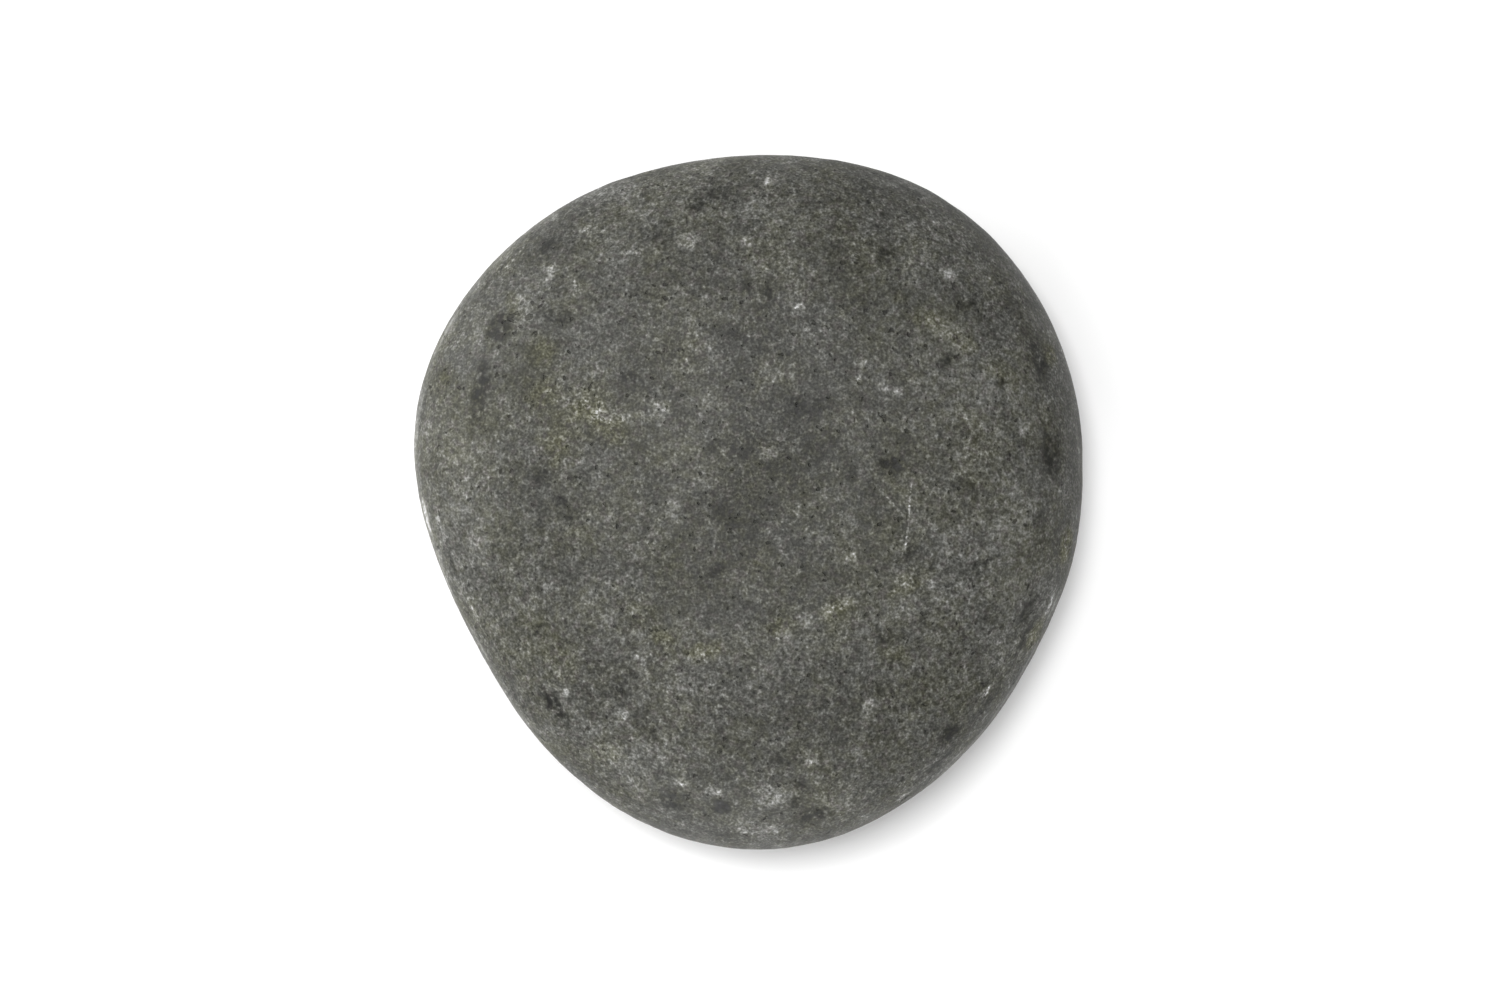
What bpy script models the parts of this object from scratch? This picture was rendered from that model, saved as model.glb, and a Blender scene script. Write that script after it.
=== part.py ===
"""A basalt massage stone: one solid river pebble, worn smooth, round in plan and flattened.

Run it with: blender --background --python part.py
Lengths are in metres and directions in degrees, counted anticlockwise from +X.
+Z is up and +Y runs along the stone's length. The origin is on the surface that the stone
rests on, under the middle of its length and width.
"""

import math

import bmesh
import bpy
from mathutils import Vector

# Overall sizes.
LENGTH = 0.080
WIDTH = 0.077
THICKNESS = 0.027

# The girth is the line where the stone is widest. It stands this far above the seat, and
# rises on one side and falls on the other by GIRTH_SWAY.
GIRTH_HEIGHT = 0.0125
GIRTH_SWAY = 0.0007
GIRTH_HIGH_SIDE = 200

# The plan outline is a circle with low bulges on it: (how many, share of the radius,
# direction of the first). Three bulges make it a rounded triangle, two make it longer one way.
OUTLINE_BULGES = (
    (2, 0.020, 98),
    (3, 0.037, 35),
    (4, 0.008, 74),
    (6, 0.003, 51),
)

# How full the section is from girth to top: 2 is an ellipse, and more is flatter on top with a
# quicker shoulder. One side of the crown has the quickest shoulder, and the side opposite
# rolls over slowly.
CROWN_FULLNESS = 2.85
CROWN_FULLNESS_SWING = 0.45
SHOULDER_SIDE = -32
# The top of the crown lies this far from the middle of the plan, towards the shoulder.
CROWN_OFFSET = 0.0022

# The underside is evenly rounded, and this much of it is worn off flat where the stone rests.
UNDERSIDE_FULLNESS = 2.7
SEAT_WEAR = 0.0005

# The surface is a grid of this many faces along each side of a cube, blown up into a ball.
GRID_FACES = 24

BASALT_GREY = (0.060, 0.060, 0.051)
BASALT_ROUGHNESS = 0.62


def clear_scene():
    for obj in list(bpy.data.objects):
        bpy.data.objects.remove(obj)


def bulged_radius(angle):
    """The outline's distance from its middle, as a share of its mean radius."""
    radius = 1.0
    for count, share, direction in OUTLINE_BULGES:
        radius += share * math.cos(count * (angle - math.radians(direction)))
    return radius


def outline_span(axis_angle, steps=720):
    """The outline's lowest and highest reach along one axis."""
    reach = [
        bulged_radius(turn) * math.cos(turn - axis_angle)
        for turn in (2 * math.pi * step / steps for step in range(steps))
    ]
    return min(reach), max(reach)


def crown_fullness(angle):
    side = math.cos(angle - math.radians(SHOULDER_SIDE))
    return CROWN_FULLNESS + CROWN_FULLNESS_SWING * side


def girth_rise(angle):
    return GIRTH_SWAY * math.cos(angle - math.radians(GIRTH_HIGH_SIDE))


def ball_grid():
    """A ball of radius 1 with even faces and no poles, made from a cube with a grid on it."""
    ball = bmesh.new()
    bmesh.ops.create_cube(ball, size=2.0)
    bmesh.ops.subdivide_edges(ball, edges=ball.edges[:], cuts=GRID_FACES - 1, use_grid_fill=True)
    for vertex in ball.verts:
        even_angles = [math.tan(place * math.pi / 4) for place in vertex.co]
        vertex.co = Vector(even_angles).normalized()
    return ball


def pebble_point(direction, plan_middle, plan_scale):
    """Where a direction out of the ball's centre meets the stone's surface."""
    angle = math.atan2(direction.y, direction.x)
    level = math.hypot(direction.x, direction.y)
    above = direction.z > 0
    fullness = crown_fullness(angle) if above else UNDERSIDE_FULLNESS
    depth = THICKNESS - GIRTH_HEIGHT if above else GIRTH_HEIGHT + SEAT_WEAR

    # In section, out^fullness + up^2 = 1: round at the girth, and flatter towards the top.
    out = level ** (2 / fullness)
    up = direction.z

    radius = bulged_radius(angle) * out
    place = Vector((math.cos(angle), math.sin(angle), 0)) * radius - plan_middle
    place.x *= plan_scale.x
    place.y *= plan_scale.y
    if above:
        lean = math.radians(SHOULDER_SIDE)
        place += Vector((math.cos(lean), math.sin(lean), 0)) * CROWN_OFFSET * up**2
    place.z = GIRTH_HEIGHT + up * depth + girth_rise(angle) * out * (1 - up**2)
    return place


def shape_pebble(ball):
    low_x, high_x = outline_span(0)
    low_y, high_y = outline_span(math.pi / 2)
    plan_middle = Vector((low_x + high_x, low_y + high_y, 0)) / 2
    plan_scale = Vector((WIDTH / (high_x - low_x), LENGTH / (high_y - low_y)))
    for vertex in ball.verts:
        vertex.co = pebble_point(vertex.co, plan_middle, plan_scale)


def wear_seat_flat(pebble):
    """Cuts off what reaches below the resting surface and closes the cut with one flat face."""
    cut = bmesh.ops.bisect_plane(
        pebble,
        geom=pebble.verts[:] + pebble.edges[:] + pebble.faces[:],
        plane_co=(0, 0, 0),
        plane_no=(0, 0, 1),
        clear_inner=True,
    )
    rim = [piece for piece in cut["geom_cut"] if isinstance(piece, bmesh.types.BMEdge)]
    bmesh.ops.edgeloop_fill(pebble, edges=rim)
    bmesh.ops.recalc_face_normals(pebble, faces=pebble.faces[:])


def basalt():
    material = bpy.data.materials.new("basalt")
    material.use_nodes = True
    shader = material.node_tree.nodes["Principled BSDF"]
    shader.inputs["Base Color"].default_value = (*BASALT_GREY, 1)
    shader.inputs["Roughness"].default_value = BASALT_ROUGHNESS
    shader.inputs["Metallic"].default_value = 0
    return material


def make_stone():
    pebble = ball_grid()
    shape_pebble(pebble)
    wear_seat_flat(pebble)
    mesh = bpy.data.meshes.new("stone")
    pebble.to_mesh(mesh)
    pebble.free()
    mesh.materials.append(basalt())
    mesh.shade_smooth()
    stone = bpy.data.objects.new("stone", mesh)
    bpy.context.scene.collection.objects.link(stone)
    return stone


clear_scene()
make_stone()
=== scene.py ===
# %% [markdown]
# # A basalt massage stone
#
# A massage stone is a river pebble of fine dark lava. The river has rolled it until nothing is
# left but soft curves, so the whole object is one piece, and everything that makes it look real
# is on its skin: dents, stains, grain, pores and scratches. This lesson makes that skin in three
# ways. Swells and dents are shaped in the mesh, where they catch the light. Stains are painted on
# the mesh's vertices, and so is some painted light and shade. Grain, pores and scratches are
# finer than the mesh's faces, so they are made in the material.

# %% Load the measured stone
import math
import random

import bmesh
import bpy
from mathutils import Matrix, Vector, noise
from mathutils.bvhtree import BVHTree
from mathutils.kdtree import KDTree


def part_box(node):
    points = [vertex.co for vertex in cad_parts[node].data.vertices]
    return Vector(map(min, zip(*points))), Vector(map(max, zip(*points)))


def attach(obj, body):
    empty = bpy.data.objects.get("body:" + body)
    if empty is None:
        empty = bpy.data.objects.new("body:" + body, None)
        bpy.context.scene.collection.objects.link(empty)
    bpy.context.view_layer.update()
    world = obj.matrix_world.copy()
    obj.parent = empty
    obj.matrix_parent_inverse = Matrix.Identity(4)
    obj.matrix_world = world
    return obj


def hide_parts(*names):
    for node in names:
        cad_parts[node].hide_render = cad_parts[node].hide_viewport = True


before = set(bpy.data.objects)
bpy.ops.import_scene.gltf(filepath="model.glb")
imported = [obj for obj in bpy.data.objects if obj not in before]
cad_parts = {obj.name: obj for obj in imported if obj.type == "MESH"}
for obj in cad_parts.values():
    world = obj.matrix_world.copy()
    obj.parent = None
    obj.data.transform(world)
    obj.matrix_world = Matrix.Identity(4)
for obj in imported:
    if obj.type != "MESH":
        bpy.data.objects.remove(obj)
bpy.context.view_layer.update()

MM = 0.001
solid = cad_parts["stone"]
low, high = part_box("stone")
middle = (low + high) / 2
half = (high - low) / 2
print("the stone is", [round(side / MM, 1) for side in high - low], "mm")

# %% [markdown]
# ## Camera
#
# The pebble is shown from straight above with a long lens, so that its outline isn't stretched.
# The camera could be turned by a constraint, but one that looks down needs no turning at all: a
# new camera already looks along -Z with +Y up.

# %% Set up the camera
LENS = 100
SENSOR = 36
# The view spans this width at half the stone's height.
FRAME_WIDTH = 173.6 * MM
# The camera stands this far off the stone's middle.
AIM = Vector((0.72, 0.23, 0)) * MM

scene = bpy.context.scene
camera = bpy.data.objects.new("camera", bpy.data.cameras.new("camera"))
scene.collection.objects.link(camera)
scene.camera = camera
camera.data.lens = LENS
camera.data.sensor_width = SENSOR
camera_height = middle.z + FRAME_WIDTH * LENS / SENSOR
camera.location = Vector((middle.x, middle.y, camera_height)) + AIM
print("camera", round(camera_height, 3), "m above the floor")

# %% [markdown]
# ## Floor
#
# The stone lies on a sheet of white card. A single face does, because the light on it is strong
# enough to burn it out to plain white, and only the stone's soft shadow shows. The card ends
# before that light weakens, so from a low angle its edge melts into the white room.

# %% Lay the floor
def plain_material(name, colour, roughness):
    material = bpy.data.materials.new(name)
    material.use_nodes = True
    shader = material.node_tree.nodes["Principled BSDF"]
    shader.inputs["Base Color"].default_value = (*colour, 1)
    shader.inputs["Roughness"].default_value = roughness
    return material


CARD_REACH = 0.3
CARD_WHITE = (0.95, 0.95, 0.95)

card = bmesh.new()
bmesh.ops.create_grid(card, x_segments=1, y_segments=1, size=CARD_REACH)
floor_mesh = bpy.data.meshes.new("floor")
card.to_mesh(floor_mesh)
card.free()
floor_mesh.materials.append(plain_material("white_card", CARD_WHITE, roughness=0.9))
floor = bpy.data.objects.new("floor", floor_mesh)
scene.collection.objects.link(floor)
print("the card is", 2 * CARD_REACH, "m wide")

# %% [markdown]
# ## Light
#
# Two wide softboxes stand low, on the -X and the -Y side, and graze the stone's flanks. They,
# and the painted light on the girth, draw the pale line round the edge. A third hangs almost
# overhead, and its shadow is the narrow dark one that seats the stone on the floor. Large lights
# matter on a matt stone: they roll off slowly, where a small lamp would draw a hard line. The
# white room fills the shadow. Its glow is weak where it lights the stone, and full where the
# camera looks straight at it, so that the background stays white.

# %% Light the stone
LIGHT_DISTANCE = 0.9
ROOM_GLOW = 0.31
ROOM_WHITE = (1, 1, 1, 1)


def softbox(name, azimuth, elevation, size, watts):
    """A square light that faces the stone. Azimuth is counted anticlockwise from +X."""
    turn = math.radians(azimuth)
    rise = math.radians(elevation)
    level = math.cos(rise)
    towards = Vector((math.cos(turn) * level, math.sin(turn) * level, math.sin(rise)))
    lamp = bpy.data.lights.new(name, "AREA")
    lamp.size = size
    lamp.energy = watts
    light = bpy.data.objects.new(name, lamp)
    scene.collection.objects.link(light)
    light.location = middle + towards * LIGHT_DISTANCE
    light.rotation_mode = "QUATERNION"
    light.rotation_quaternion = towards.to_track_quat("Z", "Y")
    light.visible_camera = False
    print(name, "gives", watts, "watts")


softbox("left_box", azimuth=155, elevation=18, size=0.8, watts=9)
softbox("lower_box", azimuth=262, elevation=18, size=0.5, watts=6)
softbox("high_box", azimuth=115, elevation=79, size=0.26, watts=5.4)

room = bpy.data.worlds.new("white_room")
room.use_nodes = True
nodes, links = room.node_tree.nodes, room.node_tree.links
seen = nodes.new("ShaderNodeLightPath").outputs["Is Camera Ray"]
glow = nodes.new("ShaderNodeMapRange")
glow.inputs["To Min"].default_value = ROOM_GLOW
links.new(seen, glow.inputs["Value"])
links.new(glow.outputs["Result"], nodes["Background"].inputs["Strength"])
nodes["Background"].inputs["Color"].default_value = ROOM_WHITE
scene.world = room
scene.view_settings.view_transform = "Standard"

# %% [markdown]
# ## The pebble's mesh
#
# A UV sphere would gather all its vertices at two poles. A cube that is cut into a fine grid
# and blown up into a ball has none, and its faces stay almost equal, which is what fine relief
# needs. The ball is first squashed to the stone's proportions, and then each vertex slides
# along its own direction until it lies on the measured solid.

# %% Blow a gridded cube up into a ball
GRID = 126

stone_mesh = bmesh.new()
bmesh.ops.create_cube(stone_mesh, size=2)
bmesh.ops.subdivide_edges(stone_mesh, edges=stone_mesh.edges[:], cuts=GRID - 1, use_grid_fill=True)
for vertex in stone_mesh.verts:
    even = Vector([math.tan(share * math.pi / 4) for share in vertex.co])
    vertex.co = even.normalized()
print(len(stone_mesh.faces), "faces in the ball")

# %% Slide it onto the measured solid
missed = 0
for vertex in stone_mesh.verts:
    direction = Vector([share * reach for share, reach in zip(vertex.co, half)])
    hit, point, _, _ = solid.ray_cast(middle, direction)
    vertex.co = point if hit else middle + direction
    missed += not hit
print(missed, "vertices missed the solid")

# %% [markdown]
# The measured solid is faceted, and its facets would show in a low light. Smoothing moves each
# vertex towards its neighbours. That also shrinks the stone by about 0.15 mm, so the mesh is
# scaled back to the solid's own box afterwards.

# %% Smooth the facets away and restore the size
SMOOTHING_PASSES = 36


def fit_to_box(mesh, target_low, target_high):
    """Scales the mesh to the box, and returns how far it was from the box's size, in millimetres."""
    places = [vertex.co for vertex in mesh.verts]
    now_low = Vector([min(place[axis] for place in places) for axis in range(3)])
    now_high = Vector([max(place[axis] for place in places) for axis in range(3)])
    for vertex in mesh.verts:
        for axis in range(3):
            share = (vertex.co[axis] - now_low[axis]) / (now_high[axis] - now_low[axis])
            vertex.co[axis] = target_low[axis] + share * (target_high[axis] - target_low[axis])
    return [round((a - b) / MM, 3) for a, b in zip(now_high - now_low, target_high - target_low)]


for _ in range(SMOOTHING_PASSES):
    bmesh.ops.smooth_vert(
        stone_mesh, verts=stone_mesh.verts[:], factor=0.5,
        use_axis_x=True, use_axis_y=True, use_axis_z=True,
    )
print("smoothing changed the size by", fit_to_box(stone_mesh, low, high), "mm")

# %% [markdown]
# ## River wear
#
# No pebble is a perfect lens. Knocks leave flats and shallow hollows, and the river rounds them
# again. The large ones at the edge are listed: a direction, half its width in degrees, and how
# far the edge stands out, in millimetres. The rest is noise, read in three dimensions so that it
# has no seam. Both fade out towards the seat, so the stone still stands flat.

# %% Swell and flatten the surface
EDGE_WEAR = (
    (30, 15, 0.13),
    (55, 14, 0.14),
    (115, 14, 0.28),
    (145, 13, -0.14),
    (198, 22, -0.20),
    (292, 14, -0.28),
    (322, 12, 0.24),
    (348, 13, 0.26),
)
# Size of a swell and how far it moves the surface, both in millimetres.
SWELLS = ((26, 0.30), (11, 0.12), (5, 0.055), (2.2, 0.03), (1.1, 0.02))
# Each size is read at its own place in the noise, so that their bumps don't line up.
SWELL_SHIFT = Vector((7.3, 2.1, 5.9))
# The wear reaches its full depth at this height above the floor.
SEAT_BLEND = 1.5 * MM


def edge_wear(place, normal):
    """How far the edge stands out here, in millimetres. It counts only on the sides."""
    direction = math.degrees(math.atan2(place.y - middle.y, place.x - middle.x))
    side = 1 - normal.z**2
    total = 0
    for centre, spread, depth in EDGE_WEAR:
        away = (direction - centre + 180) % 360 - 180
        total += depth * math.exp(-((away / spread) ** 2))
    return total * side**2


def swell(place):
    total = 0
    for layer, (size, depth) in enumerate(SWELLS):
        total += depth * noise.noise(place / (size * MM) + SWELL_SHIFT * (layer + 1))
    return total


def above_seat(place):
    """0 on the seat, 1 where the underside has curved well clear of the floor."""
    share = min(max((place.z - low.z) / SEAT_BLEND, 0), 1)
    return share * share * (3 - 2 * share)


def push(mesh, depth_at):
    """Moves every vertex along its normal by depth_at, in millimetres, but not on the seat."""
    mesh.normal_update()
    normals = [vertex.normal.copy() for vertex in mesh.verts]
    for vertex, normal in zip(mesh.verts, normals):
        vertex.co += normal * depth_at(vertex.co, normal) * above_seat(vertex.co) * MM


push(stone_mesh, lambda place, normal: swell(place) + edge_wear(place, normal))
tallest = max(vertex.co.z for vertex in stone_mesh.verts)
print("the worn stone is", round(tallest / MM, 2), "mm tall")

# %% [markdown]
# ## Marks
#
# Every patch, stain and dent is a soft oval on the surface: where it is, how long and wide it
# is, which way it lies and how strong it is. Ovals that are dropped straight down on the crown
# are given as x and y, and the surface below supplies the height. Noise pushes each oval's
# edge about, because a clean oval looks printed. This kind of noise starts anew in every run, so
# the edges' fine raggedness differs a little each time, and the ovals' places don't.

# %% A soft oval on the surface
surface = BVHTree.FromBMesh(stone_mesh)
finder = KDTree(len(stone_mesh.verts))
for index, vertex in enumerate(stone_mesh.verts):
    finder.insert(vertex.co, index)
finder.balance()
stone_mesh.verts.ensure_lookup_table()

# How fast an oval fades. At FADE times its half length, hardly anything is left of it.
FALL_OFF = 1.1
FADE = 1.9
# Ovals narrower than this, in millimetres, have a quick edge, and wider ones a slow one.
CRISP = 4
# How far noise pushes an oval's edge about, and the noise's size, as shares of its width.
RAGGEDNESS = 0.16
RAG_SIZE = 0.45


def heading(turn):
    return Vector((math.cos(math.radians(turn)), math.sin(math.radians(turn)), 0))


def on_crown(x, y):
    return surface.ray_cast(Vector((x * MM, y * MM, high.z + MM)), Vector((0, 0, -1)))[0]


def on_side(direction, height):
    outwards = heading(direction)
    start = Vector((middle.x, middle.y, height * MM)) + outwards * 2 * half.y
    return surface.ray_cast(start, -outwards)[0]


def oval(centre, length, width, along):
    """Yields each vertex near the oval and how much it belongs to it, from 1 down to 0."""
    ragged = RAGGEDNESS * width * MM
    edge = 4 if width < CRISP else 2
    for place, index, _ in finder.find_range(centre, FADE * max(length, width) * MM / 2):
        pushed = noise.noise_vector(place / (RAG_SIZE * width * MM)) * ragged
        offset = place - centre + pushed
        lengthwise = offset.dot(along)
        crosswise = (offset - along * lengthwise).length
        far = math.hypot(lengthwise / length, crosswise / width) * 2 / MM
        yield stone_mesh.verts[index], math.exp(-FALL_OFF * far**edge)


print("ovals are found among", len(stone_mesh.verts), "vertices")

# %% [markdown]
# ## Painting the patches
#
# A layer of numbers on the vertices is like a mask painted by hand: the material reads it under
# the layer's name. Five are painted. Pale is where the rock is bruised and its feldspar shows,
# dark is where skin oil or denser rock darkens it, and it also holds one line of painted shade on
# a shoulder. Stain is olive mineral, and pitted is where small bubbles in the lava were cut open.
# The wash layer is wide soft painted light and shade, paler towards the crown's edge and on the
# girth and darker in the crown's middle, and it holds the rubbed streaks on the girth too. A
# sixth, the flank mask, is worked out from the shape.

# %% Patches on the crown
# x, y, length, width, turn in degrees, strength. Lengths are in millimetres.
PALE = (
    (-16, 9.6, 11, 2.4, -4, 0.32), (-10.2, 10.2, 2.4, 2.0, 0, 0.50), (-8.4, -0.6, 3.6, 2.2, 75, 0.30),
    (-5.6, 2.4, 5.0, 1.4, -35, 0.26), (-8.0, 5.6, 4.0, 2.0, 70, 0.12), (2.2, 5.6, 1.9, 1.6, 0, 0.42),
    (11.4, -6.0, 1.7, 1.5, 0, 0.55), (6.3, -13.3, 1.7, 1.5, 0, 0.50),
    (9.6, -11.8, 5.5, 1.6, 27, 0.38), (4.9, -15.6, 4.2, 3.0, 20, 0.08),
    (2.6, -33.2, 4.2, 3.6, 0, 0.46), (1.0, -37.0, 7, 2.4, 0, 0.34),
    (-3.9, -32.6, 2.4, 1.4, -10, 0.60), (-7.5, -31.6, 1.8, 1.4, 0, 0.70),
    (-12.8, -32.0, 5.2, 1.5, -38, 0.20), (7.1, -29.1, 1.6, 1.5, 0, 0.50),
    (13.5, -22.9, 2.6, 1.3, 75, 0.68), (-5.3, -17.1, 1.8, 1.5, 0, 0.22),
    (-12.0, -17.9, 3.8, 1.2, 108, 0.20), (-14.1, -24.0, 1.4, 1.3, 0, 0.46),
    (-21.0, -21.5, 1.5, 1.2, 0, 0.52), (-16.2, -28.4, 3.8, 3.0, 0, 0.14),
    (-9.6, -28.8, 2.0, 1.2, 10, 0.36), (-30.8, -4.6, 3.6, 2.6, 110, 0.18),
    (-28.6, -14.8, 5.0, 1.8, -60, 0.16), (-22.8, 26, 2.4, 1.6, -60, 0.60),
    (-24.6, 23.6, 4.4, 3.0, 40, 0.20), (-18.6, 31.0, 1.6, 1.2, 0, 0.50),
    (-13.2, 27.9, 3.4, 2.0, 10, 0.12), (-6.9, 29.4, 2.0, 1.8, 0, 0.64),
    (-0.2, 29.2, 2.2, 1.1, -42, 0.65), (-0.6, 32.8, 3.2, 2.0, -30, 0.07),
    (2.0, 36.4, 1.7, 1.4, 0, 0.70), (22.5, 25.7, 2.1, 1.3, -10, 0.76),
    (21.8, 19.6, 6.0, 2.6, -28, 0.26), (12.7, 15.6, 1.5, 1.2, 0, 0.44),
    (12.3, 14.0, 1.6, 1.1, 60, 0.38), (15.0, 12.7, 1.5, 1.0, 0, 0.42),
    (16.8, 12.2, 1.7, 1.0, -25, 0.80), (5.6, 21.6, 1.6, 1.3, 0, 0.60), (3.6, 15.0, 4.4, 3.4, 0, 0.34),
    (17.6, 8.8, 4.0, 2.0, -10, 0.28), (4.6, 6.8, 3.6, 3.0, 60, 0.24),
    (26.8, -21.4, 2.4, 0.9, 52, 0.40), (11.4, -28.0, 3.6, 3.0, 0, 0.14),
    (31.0, 8.0, 1.8, 1.5, 0, 0.44), (-21.5, 12.0, 4.0, 2.4, -20, 0.18),
    (34.5, -11.3, 3.2, 1.3, 68, 0.55), (-37.0, -1.6, 5.0, 1.2, 103, 0.40),
    (-35.2, -2.4, 6.5, 1.0, 107, 0.36), (-33.2, -9.3, 3.2, 0.9, 114, 0.36),
    (-31.4, -12.2, 4.2, 1.2, 118, 0.30), (17.7, -33.6, 1.8, 1.3, 32, 0.75),
)
# The last three dark ovals are painted shade: a line where the crown turns down on the +X, -Y side.
DARK_AND_SHADE = (
    (16.1, 4.2, 3.0, 2.4, 20, 0.72), (18.3, -5.6, 2.2, 1.7, 30, 0.36), (6.4, 10.4, 5.0, 2.8, 0, 0.40),
    (8.8, 6.1, 2.2, 2.2, 0, 0.55), (11.4, 3.2, 1.8, 1.6, 0, 0.42), (-2.6, -1.4, 5.4, 2.2, -62, 0.32),
    (0.2, -3.8, 6.5, 2.2, 95, 0.16), (-4.4, 6.0, 2.2, 1.6, 0, 0.24), (-0.8, 5.8, 3.2, 2.4, 0, 0.30),
    (-3.6, -7.7, 2.4, 1.6, 35, 0.50), (2.3, 23.6, 2.4, 1.6, 80, 0.32),
    (-0.4, 24.2, 2.0, 1.8, 0, 0.32), (-1.2, 18.8, 2.4, 1.8, 0, 0.16),
    (-13.3, 13.8, 2.2, 1.8, 0, 0.50), (-23.3, 2.9, 2.6, 2.0, 0, 0.36),
    (-20.8, -0.6, 4.2, 1.8, -55, 0.38), (-21.5, 20.8, 2.8, 2.2, 0, 0.42),
    (-28.2, 19.8, 4.4, 3.0, 70, 0.55), (-30.4, 13.0, 8.0, 2.0, 84, 0.66),
    (-22.8, 29.0, 2.4, 1.8, 0, 0.34), (-10.4, 30.4, 4.4, 2.6, 20, 0.09),
    (-6.0, 33.8, 2.4, 2.2, 0, 0.42), (-3.6, 34.9, 2.2, 1.8, 0, 0.32), (15.9, 27.9, 2.8, 2.2, 0, 0.28),
    (24.6, 22.2, 3.0, 2.2, 0, 0.26), (22.1, 15.7, 2.0, 2.0, 0, 0.30), (28.4, 13.4, 1.4, 1.8, 0, 0.48),
    (32.9, 16.2, 5.4, 2.2, 104, 0.44), (34.2, 5.2, 5.0, 3.0, 92, 0.36),
    (33.2, -1.6, 6.5, 2.2, 86, 0.14), (24.4, 2.0, 3.0, 2.2, 0, 0.26),
    (25.6, -7.4, 4.6, 1.8, 30, 0.32), (15.1, -15.0, 2.2, 1.8, 0, 0.46),
    (31.4, -12.4, 5.6, 2.0, 70, 0.34), (22.7, -26.4, 2.6, 2.4, 0, 0.66),
    (4.2, -29.1, 4.4, 2.2, -10, 0.24), (5.8, -31.8, 1.8, 1.5, 0, 0.42),
    (5.2, -33.9, 2.2, 1.6, 0, 0.50), (7.6, -35.4, 4.0, 2.6, 0, 0.64),
    (-3.2, -34.4, 2.4, 1.8, 0, 0.90), (-8.8, -33.8, 2.8, 2.4, 0, 0.62),
    (-11.6, -25.2, 4.6, 1.3, -46, 0.30), (-14.6, -21.0, 3.0, 2.6, 60, 0.32),
    (-17.6, -18.3, 4.0, 2.4, 0, 0.14), (-23.7, -14.4, 2.6, 2.0, 0, 0.30),
    (-22.0, -23.3, 5.4, 1.9, -58, 0.72), (31.2, -15.6, 6.0, 1.1, 64, 0.44),
    (28.0, -21.6, 6.5, 1.2, 58, 0.48), (21.4, -29.8, 7.0, 1.1, 42, 0.38),
)
STAIN = (
    (-18.0, 10.4, 6.0, 5.0, 0, 0.80), (-15.4, 7.8, 4.0, 3.2, -20, 0.52),
    (-21.4, 6.2, 5.0, 4.4, 60, 0.55), (-23.5, 17.0, 4.6, 3.6, 80, 0.58),
    (-23.0, 12.4, 4.4, 3.6, 0, 0.45), (-26.8, 22.6, 6.0, 1.8, -58, 0.45),
    (-12.2, -12.8, 5.0, 2.6, -50, 0.12), (-9.6, -15.2, 3.4, 1.8, -20, 0.48),
    (-4.8, -16.6, 4.6, 2.4, 8, 0.58), (3.8, -13.9, 5.0, 2.2, 12, 0.40),
    (9.8, -12.0, 4.4, 2.8, 15, 0.36), (18.4, -8.6, 6.0, 2.8, 36, 0.55),
    (20.4, 20.2, 6.0, 2.4, -25, 0.34), (24.2, 18.0, 3.6, 2.6, -40, 0.34),
    (28.4, 14.6, 5.4, 2.6, -30, 0.32), (17.0, 23.0, 2.0, 1.8, 0, 0.40),
    (34.4, 16.8, 3.0, 2.6, 0, 0.85), (24, 6, 14, 10, 0, 0.20), (-33, 9, 14, 10, 90, 0.22),
    (-34.6, 14.0, 3.4, 2.2, 70, 0.35), (36.2, -5.0, 4.4, 3.0, 85, 1.20),
    (32.6, -15.2, 4.4, 3.0, 65, 0.75), (16.4, -17.0, 4.2, 2.6, 0, 0.35),
    (-21.4, -18.4, 6.0, 3.6, -50, 0.24), (-16.0, -28.2, 4.0, 3.4, 0, 0.28),
    (-18.8, -4.2, 5.0, 3.4, 0, 0.20), (14, 27, 9, 6, 0, 0.06), (-10.5, 22.5, 5.0, 4.0, 0, 0.20),
    (-7.0, 16.0, 5.0, 5.0, 0, 0.18), (-8.5, -6.0, 4.4, 5.0, 0, 0.18),
)
PITTED = (
    (-13.2, 28.0, 2.6, 1.4, 8, 1.2), (-16.6, 27.6, 2.2, 1.2, 20, 0.9),
    (-26.0, 21.0, 5.2, 3.4, 30, 0.9), (-17.4, 10.4, 4.4, 2.6, -20, 1.0),
    (11.9, 27.4, 3.0, 2.0, -20, 0.8), (-23.4, 11.6, 3.4, 1.6, -25, 0.7),
    (23.6, 18.4, 3.4, 2.0, -35, 0.5), (-8.4, -0.4, 2.4, 2.0, 0, 0.4),
    (28.0, 14.0, 4.0, 2.4, -20, 0.5),
)
# Painted light and shade, wide and soft: paler where the strength is above 0 and darker where it
# is below. Most lighten the crown towards its edge and darken its middle.
PAINTED_LIGHT_AND_SHADE = (
    (-32, 1, 38, 13, 88, 0.15), (31, 2, 32, 12, 92, 0.26), (22, 20, 24, 13, -45, 0.19),
    (25, -18, 26, 7, 54, 0.12), (-22, 23, 20, 12, 48, 0.06), (26, 30, 14, 5, -42, -0.05),
    (3, 1, 30, 18, 75, -0.12), (1, 7, 13, 10, 0, -0.16), (0, 20, 18, 12, 0, -0.12),
    (-9, -6, 12, 9, 30, -0.035), (0, -24, 24, 10, 0, -0.05),
)
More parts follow.
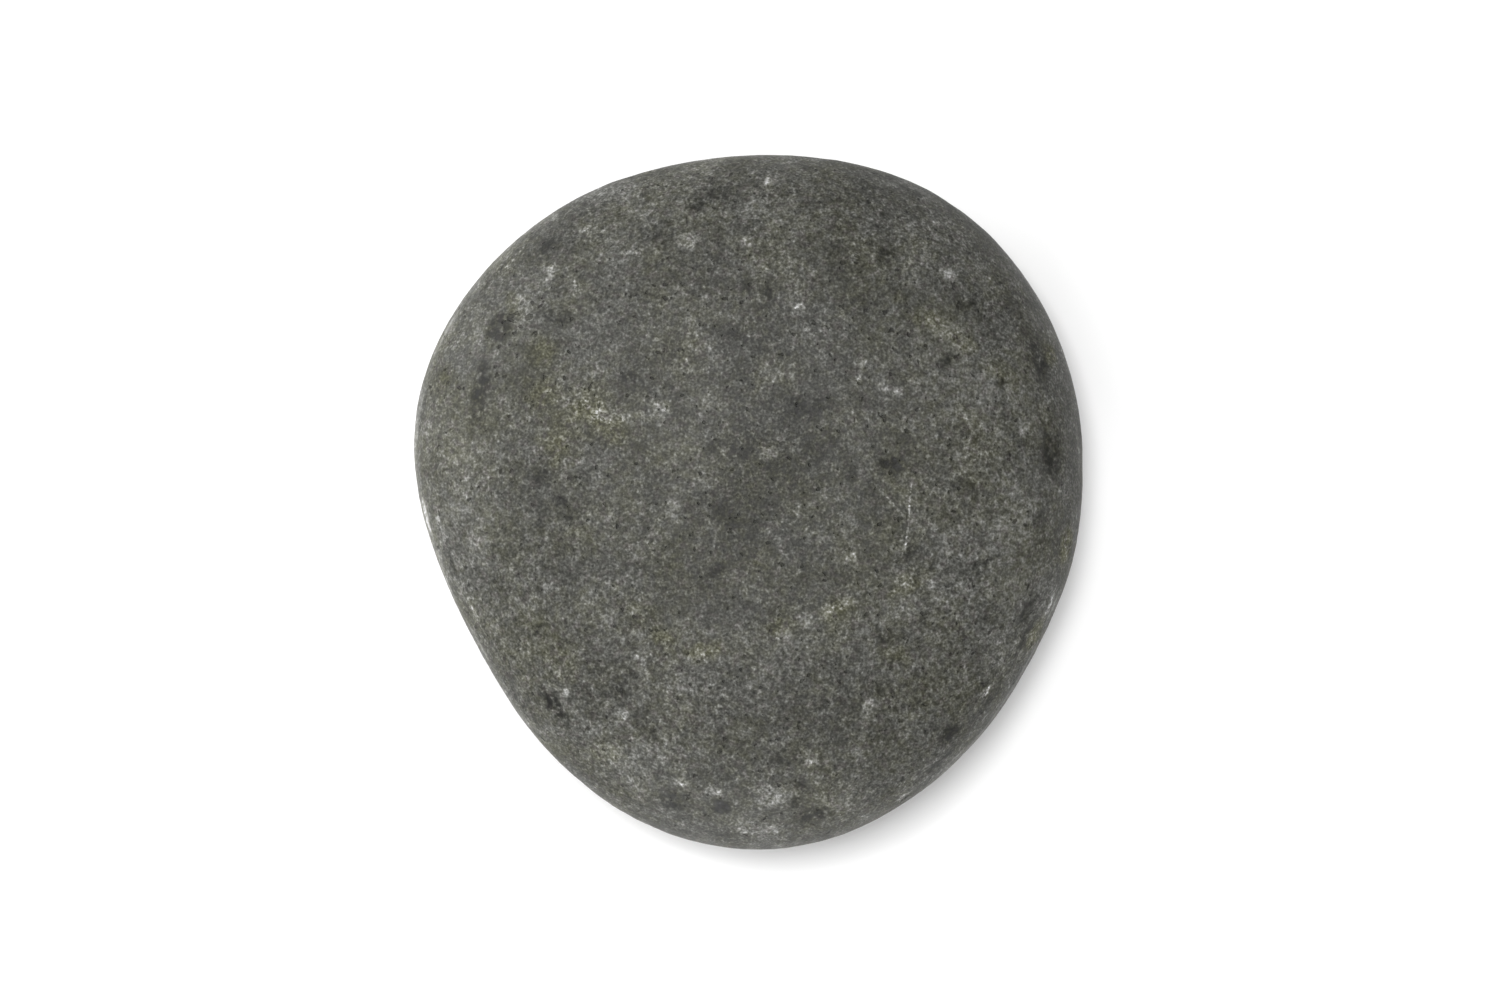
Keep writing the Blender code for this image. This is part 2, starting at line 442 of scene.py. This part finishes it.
# Painted light and rubbed streaks on the girth: direction in degrees, height, length, width,
# strength. The wide ones are painted light on the rim, strongest on the -X side. The narrow ones
# are rubbed streaks, pale above 0 and dark below.
GIRTH_LIGHT_AND_STREAKS = (
    (135, 14.0, 30, 5, 0.32), (160, 14.0, 30, 5.5, 0.35), (185, 14.0, 30, 6, 0.50),
    (215, 14.0, 26, 5, 0.37), (20, 13.5, 30, 4, 0.15), (265, 13.5, 26, 4, 0.12),
    (318, 13.5, 26, 4.4, 0.34), (345, 13.5, 16, 4, 0.12), (90, 13.5, 24, 4, 0.12),
    (183, 16.0, 6, 1.0, 0.45), (196, 15.0, 7, 0.9, 0.40), (208, 16.0, 6, 0.9, 0.35),
    (191, 18.0, 5, 1.0, -0.35), (150, 15.5, 8, 0.9, 0.35), (139, 17.0, 6, 0.9, -0.30),
    (165, 16.5, 7, 0.9, -0.30), (218, 17.0, 7, 1.0, -0.30), (330, 15.0, 7, 1.0, 0.40),
    (341, 15.5, 5, 0.9, 0.40), (320, 15.0, 8, 0.9, 0.35), (308, 16.0, 6, 0.9, 0.30),
    (10, 15.5, 7, 0.9, 0.30), (60, 15.5, 8, 0.9, 0.25), (100, 16.0, 8, 0.9, 0.25),
    (118, 17.5, 7, 1.0, -0.30),
)


def daub(layer, centre, length, width, along, strength):
    """Adds one soft oval to a layer."""
    for vertex, share in oval(centre, length, width, along):
        vertex[layer] += strength * share


def paint(layer_name, marks):
    layer = stone_mesh.verts.layers.float.new(layer_name)
    for x, y, length, width, turn, strength in marks:
        daub(layer, on_crown(x, y), length, width, heading(turn), strength)
    print(layer_name, "is painted with", len(marks), "marks")


paint("pale", PALE)
paint("dark_and_shade", DARK_AND_SHADE)
paint("stain", STAIN)
paint("pitted", PITTED)
paint("light_shade_and_streaks", PAINTED_LIGHT_AND_SHADE)

# %% Painted light and streaks on the girth
light_shade_and_streaks_layer = stone_mesh.verts.layers.float["light_shade_and_streaks"]
# The wide ovals paint light on the rim, and the narrow ones are rubbed streaks.
for direction, height, length, width, strength in GIRTH_LIGHT_AND_STREAKS:
    daub(light_shade_and_streaks_layer, on_side(direction, height), length, width, heading(direction + 90), strength)
print(len(GIRTH_LIGHT_AND_STREAKS), "marks on the girth")

# %% Mask the flanks
# 0 where the surface lies flat, and 1 on the girth, where it stands upright.
flank_layer = stone_mesh.verts.layers.float.new("flank")
stone_mesh.normal_update()
for vertex in stone_mesh.verts:
    vertex[flank_layer] = (1 - vertex.normal.z**2) ** 2
steep = [vertex for vertex in stone_mesh.verts if vertex[flank_layer] > 0.5]
print(len(steep), "vertices on the flanks")

# %% [markdown]
# The sides and the underside have the same kinds of patches. Nobody looks for a certain one
# there, so they are strewn by a seeded generator, which puts them in the same places every time.

# %% Patches on the sides and the underside
# The patches' centres lie below this height.
CROWN_EDGE = 11 * MM
strewn = random.Random(41)
below = [vertex for vertex in stone_mesh.verts if vertex.co.z < CROWN_EDGE]


def strew(layer_name, count, longest, strongest):
    """Each patch is a random share of the longest and of the strongest."""
    layer = stone_mesh.verts.layers.float[layer_name]
    for _ in range(count):
        centre = strewn.choice(below).co.copy()
        length = longest * strewn.uniform(0.25, 1)
        width = length * strewn.uniform(0.35, 0.9)
        along = heading(strewn.uniform(0, 360))
        strength = strongest * strewn.uniform(0.4, 1)
        daub(layer, centre, length, width, along, strength)
    print(count, "more", layer_name, "marks")


strew("pale", 110, longest=4.5, strongest=0.4)
strew("dark_and_shade", 90, longest=5.5, strongest=0.34)
strew("stain", 26, longest=9, strongest=0.7)
strew("pitted", 12, longest=5, strongest=0.9)

# %% [markdown]
# ## Dents
#
# The deepest marks are cut into the mesh as well, so that they show in the light and in the
# outline. Each is the same soft oval, pushed in along the surface's normal. Shallow ones are
# strewn all over it, because a pebble that has met others for years is dented everywhere. Their
# depth is a random share of their size, drawn again for each vertex, which leaves them rough.

# %% Dent the stone
# x, y, length, width, turn in degrees, depth. Lengths are in millimetres.
DENTS = (
    (-11.6, -25.2, 5.0, 1.6, -46, 0.12), (-22.0, -23.3, 5.6, 2.0, -58, 0.12),
    (16.1, 4.2, 3.2, 2.4, 20, 0.10), (18.3, -5.6, 2.4, 1.8, 30, 0.08),
    (34.2, 5.2, 5.0, 3.0, 92, 0.12), (32.9, 16.2, 5.6, 2.6, 104, 0.12),
    (-28.2, 19.8, 4.4, 3.0, 70, 0.10), (5.8, -31.8, 2.0, 1.6, 0, 0.10),
    (-8.8, -33.8, 3.0, 2.4, 0, 0.08), (31.4, -12.4, 5.6, 2.0, 66, 0.08),
    (-26.0, 21.0, 5.0, 3.2, 30, 0.06), (-13.2, 28.0, 2.6, 1.6, 8, 0.06),
    (17.8, -33.7, 1.5, 1.2, 32, 0.14), (2.3, 23.6, 2.4, 1.6, 80, 0.06),
    (-4.2, 35.0, 3.0, 2.0, 20, 0.08),
)
DENT_COUNT = 420
# The strewn dents' length in millimetres, and their depth as a share of it.
DENT_SIZES = (1.0, 3.2)
DENT_DEPTHS = (0.008, 0.02)

dent_depth = stone_mesh.verts.layers.float.new("dent_depth")
for x, y, length, width, turn, depth in DENTS:
    for vertex, share in oval(on_crown(x, y), length, width, heading(turn)):
        vertex[dent_depth] += depth * share
everywhere = stone_mesh.verts[:]
for _ in range(DENT_COUNT):
    size = strewn.uniform(*DENT_SIZES)
    centre = strewn.choice(everywhere).co.copy()
    width = size * strewn.uniform(0.5, 1)
    along = heading(strewn.uniform(0, 360))
    for vertex, share in oval(centre, size, width, along):
        vertex[dent_depth] += share * size * strewn.uniform(*DENT_DEPTHS)
stone_mesh.normal_update()
for vertex, normal in [(vertex, vertex.normal.copy()) for vertex in everywhere]:
    vertex.co -= normal * vertex[dent_depth] * above_seat(vertex.co) * MM
print("the deepest dent is", round(max(vertex[dent_depth] for vertex in everywhere), 2), "mm")
stone_mesh.verts.layers.float.remove(dent_depth)

# %% Make the stone's object
fit_to_box(stone_mesh, low, high)
stone_data = bpy.data.meshes.new("river_stone")
stone_mesh.to_mesh(stone_data)
stone_mesh.free()
stone_data.shade_smooth()
stone = bpy.data.objects.new("river_stone", stone_data)
scene.collection.objects.link(stone)
print(len(stone_data.polygons), "faces in the river stone")

# %% [markdown]
# ## Writing shader maths as expressions
#
# A material is a graph of nodes. Built one link at a time, its formula can't be read any more.
# This small class wraps a socket, so that `a * b + 1` adds the Math nodes by itself.

# %% A socket that does arithmetic
class Wire:
    """An output socket that adds a Math node for each sign used on it."""

    def __init__(self, tree, socket):
        self.tree = tree
        self.socket = socket

    def node(self, kind, settings=None, sockets=None, output=0):
        """Adds a node, applies its settings first, then fills its inputs with values or links."""
        made = self.tree.nodes.new(kind)
        for name, value in (settings or {}).items():
            setattr(made, name, value)
        for name, value in (sockets or {}).items():
            if isinstance(value, Wire):
                self.tree.links.new(value.socket, made.inputs[name])
            else:
                made.inputs[name].default_value = value
        return Wire(self.tree, made.outputs[output])

    def math(self, operation, *values):
        return self.node("ShaderNodeMath", {"operation": operation}, dict(enumerate(values)))

    def __add__(self, other):
        return self.math("ADD", self, other)

    def __sub__(self, other):
        return self.math("SUBTRACT", self, other)

    def __mul__(self, other):
        return self.math("MULTIPLY", self, other)

    def __rsub__(self, other):
        return self.math("SUBTRACT", other, self)

    __radd__ = __add__
    __rmul__ = __mul__


# %% [markdown]
# ## Basalt
#
# Up close the rock is a felt of tiny crystals, from a tenth to half a millimetre. Pale feldspar
# needles lie in a dark ground, and they gather in cloudy patches. Each size of detail is its
# own noise. Their sum is the tone, counted so that adding 0.1 makes the rock a tenth lighter:
# the exponential at the end turns the sum into a share of the ground colour. It also makes
# the pale specks stronger than the dark ones, as in the rock. The numbers that scale the noises
# are given one by one.

# %% Start the material
basalt = bpy.data.materials.new("basalt")
basalt.use_nodes = True
tree = basalt.node_tree
shader = tree.nodes["Principled BSDF"]
start = Wire(tree, None)
on_stone = start.node("ShaderNodeTexCoord", output="Object")
print("started the", basalt.name)


def moved(shift=(0, 0, 0), stretch=(1, 1, 1), turn=(0, 0, 0)):
    return start.node(
        "ShaderNodeMapping",
        sockets={"Vector": on_stone, "Location": shift, "Rotation": turn, "Scale": stretch},
    )


# Noise has a faint weave along its own axes, so it is turned away from the stone's flat crown.
SKEW = (0.7, 1.1, 0.4)


def grain(size, detail=2.0, shift=(0, 0, 0), stretch=(1, 1, 1), turn=SKEW):
    """Noise around 0, whose blobs are about as wide as size, in millimetres."""
    value = start.node(
        "ShaderNodeTexNoise",
        sockets={"Vector": moved(shift, stretch, turn), "Scale": 1 / (size * MM), "Detail": detail},
    )
    return value - 0.5


def painted(layer_name):
    return start.node("ShaderNodeAttribute", {"attribute_name": layer_name}, output="Fac")


def ramp(value, begin, end, curve="SMOOTHSTEP"):
    """0 up to begin and 1 from end on. With begin above end it falls instead of rising."""
    return start.node(
        "ShaderNodeMapRange", {"interpolation_type": curve},
        {"Value": value, "From Min": begin, "From Max": end},
    )


# %% Mix the tone
fine = grain(0.28)
felt = grain(0.6, shift=(3, 1, 4))
mottle = grain(2.0, shift=(1, 5, 9))
cloud = grain(9, detail=4, shift=(2, 6, 5))
sweepy = grain(30, shift=(3, 5, 8))

light_shade_and_streaks = painted("light_shade_and_streaks")

crystals = fine * 3.5 + felt * 3.1
pale_blots = ramp(grain(1.5, shift=(7, 3, 2)), 0.09, 0.20)
dark_blots = ramp(grain(2.1, shift=(2, 9, 4)), 0.09, 0.18)
blotches = pale_blots - dark_blots
# Where the painted light makes the rock paler its crystals stand out less, and where the painted
# shade darkens it, more.
contrast = 0.985 + grain(7, shift=(7, 7, 7)) * 0.4 - light_shade_and_streaks * 0.85
tone = (crystals + mottle * 1.25 + blotches * 0.21) * contrast + cloud * 1.5 + sweepy * 0.8
print(len(tree.nodes), "nodes for the tone")

# %% Scatter the needles
# Feldspar grows as thin laths. Noise that is squeezed along two axes makes short strokes.
LATH_STRETCH = (1, 0.22, 0.5)


def needles(size, shift, turn):
    return ramp(grain(size, detail=1, shift=shift, stretch=LATH_STRETCH, turn=turn), 0.09, 0.24)


strokes = needles(0.34, (4, 4, 7), (0.2, 0.1, 0.5)) + needles(0.34, (6, 1, 2), (0.1, 0.3, 1.9))
strokes = strokes + needles(0.3, (9, 3, 5), (0.3, 0.2, 2.8))
# The number taken off is about what the needles add on average.
tone = tone + strokes * 0.22 - 0.03
print(len(tree.nodes), "nodes with the needles")

# %% [markdown]
# The painted patches join the same sum, and with them the painted light and shade. A bruise isn't
# an even wash: it comes through in some crystals and not in others. One coarse noise shares the
# patches out, so that the pale ones lie where it is high and the dark ones where it is low.

# %% Add the painted patches
pale = painted("pale")
dark_and_shade = painted("dark_and_shade")
stain = painted("stain")
pitted = painted("pitted")
flank = painted("flank")

patchy = ramp(grain(1.0, shift=(9, 4, 6)), -0.10, 0.12)
tone = tone + pale * (1.35 + patchy * 1.1 + felt * 2)
# Dark marks darken the tone, and so does the painted shade line on the shoulder.
tone = tone - dark_and_shade * (3.6 - patchy * 2.4 - felt * 4)
# This layer adds painted light and shade, and the girth's rubbed streaks.
tone = tone + light_shade_and_streaks * 2 + stain * crystals * 0.35 + flank * mottle * 0.6
print(len(tree.nodes), "nodes with the patches")

# %% [markdown]
# Lava holds bubbles, and the river cuts them open. A pore is the deep end of a noise, and
# where the mask says so, the noise is pushed down until many pores open. Each pore is painted
# dark, as painted shade in the hole, and sunk a little in the relief. Their rims are worn pale.

# %% Open the pores
bubbles = grain(0.8, detail=1, shift=(1, 8, 3)) - pitted * 0.16
pores = ramp(bubbles, -0.18, -0.26)
rims = ramp(bubbles, -0.04, -0.16) * pitted
# Pores darken the tone: painted shade inside the open bubbles.
tone = tone + rims * 0.6 - pores * 1.1
print(len(tree.nodes), "nodes with the pores")

# %% [markdown]
# ## Scratches
#
# A hair scratch is thinner than the mesh's faces, so it is drawn in the material. A Mapping
# node in texture mode lays a small frame on the stone: it is moved, turned and stretched so
# that the scratch becomes a ball of radius 1, and the distance from its middle is the mask.

# %% Draw the scratches
# x, y, length, width, turn in degrees, strength. Lengths are in millimetres.
SCRATCHES = (
    (-19.6, 24.5, 1.6, 0.30, 98, 1.3),
    (17.9, -1.6, 7.0, 0.26, 85, 1.0),
    (17.6, -4.5, 1.5, 0.34, 80, 0.7),
    (15.5, 0.4, 5.6, 0.34, -46, 0.8),
    (27.0, -21.6, 2.0, 0.36, 59, 0.60),
    (21.6, -29.2, 1.8, 0.34, 34, 0.65),
    (24.8, 6.8, 3.4, 0.20, 78, 0.30),
    (-27.0, 27.6, 4.6, 0.30, 52, 0.35),
)
# How far the small frame reaches up and down, in millimetres, so that the surface's curve
# doesn't leave it.
SCRATCH_REACH = 8


def scratch(x, y, length, width, turn, strength):
    height = on_crown(x, y).z
    frame_on_stone = start.node(
        "ShaderNodeMapping", {"vector_type": "TEXTURE"},
        {
            "Vector": on_stone,
            "Location": (x * MM, y * MM, height),
            "Rotation": (0, 0, math.radians(turn)),
            "Scale": (length * MM / 2, width * MM / 2, SCRATCH_REACH * MM / 2),
        },
    )
    away = start.node(
        "ShaderNodeVectorMath", {"operation": "LENGTH"}, {"Vector": frame_on_stone}, output="Value",
    )
    return ramp(away, 1.5, 0.6) * strength


scratched = sum(scratch(*mark) for mark in SCRATCHES)
tone = tone + scratched * (0.8 + crystals * 0.5)
print(len(SCRATCHES), "scratches and", len(tree.nodes), "nodes")

# %% [markdown]
# ## Colour
#
# The ground is a grey that leans to warm green. Its tint is mixed apart from its tone, so that
# a stain can turn the rock olive without making it darker. Specks of rust are mixed in next, and
# last the pale crystals lose some of the tint, because feldspar is nearly white.

# %% Colour the rock
GROUND = 0.0543
UNTINTED = (1, 1, 1, 1)
BARE_TINT = (0.99, 1.0, 0.875, 1)
OLIVE_TINT = (1.045, 1.03, 0.50, 1)
RUST_TINT = (1.05, 0.95, 0.88, 1)


def mixed(amount, first, second, clamp=True):
    return start.node(
        "ShaderNodeMix", {"data_type": "RGBA", "clamp_factor": clamp},
        {"Factor": amount, "A": first, "B": second}, output=2,
    )


wide_stain = grain(6, detail=3, shift=(8, 2, 2))
small_stain = grain(0.9, shift=(4, 4, 1))
olive = stain * 0.9 + wide_stain + small_stain * 0.9 + 0.14
rusty = ramp(grain(0.9, shift=(6, 6, 6)), 0.02, 0.2)
tint = mixed(olive, BARE_TINT, OLIVE_TINT)
tint = mixed(rusty * 0.6, tint, RUST_TINT)
tint = mixed(1 - tone * 0.45, UNTINTED, tint, clamp=False)
albedo = start.math("EXPONENT", tone) * GROUND
colour = start.node(
    "ShaderNodeVectorMath", {"operation": "SCALE"}, {"Vector": tint, "Scale": albedo},
)
tree.links.new(colour.socket, shader.inputs["Base Color"])
print(len(tree.nodes), "nodes with the colour")

# %% [markdown]
# ## Touch
#
# The tumbled skin is matt. Bruised pale spots are a little rougher and dark ones a little
# smoother, and the pores and the grain are a fine relief. The heights are in millimetres, and the
# Bump node's distance is one millimetre. What is the same all over is set on the shader itself.

# %% Roughness and fine relief
SKIN_ROUGHNESS = 0.62
SKIN_SHINE = 0.3

roughness = SKIN_ROUGHNESS + felt * 0.5 + pale * 0.12 - dark_and_shade * 0.12
tree.links.new(roughness.socket, shader.inputs["Roughness"])
shader.inputs["Specular IOR Level"].default_value = SKIN_SHINE

relief = fine * 0.02 + felt * 0.04 + mottle * 0.06 - pores * 0.10
bump = start.node("ShaderNodeBump", sockets={"Height": relief, "Distance": MM, "Strength": 1.0})
tree.links.new(bump.socket, shader.inputs["Normal"])
print(len(tree.nodes), "nodes in the basalt")

# %% Dress the stone
stone_data.materials.append(basalt)
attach(stone, "root")
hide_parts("stone")
print(stone.name, "wears", basalt.name)
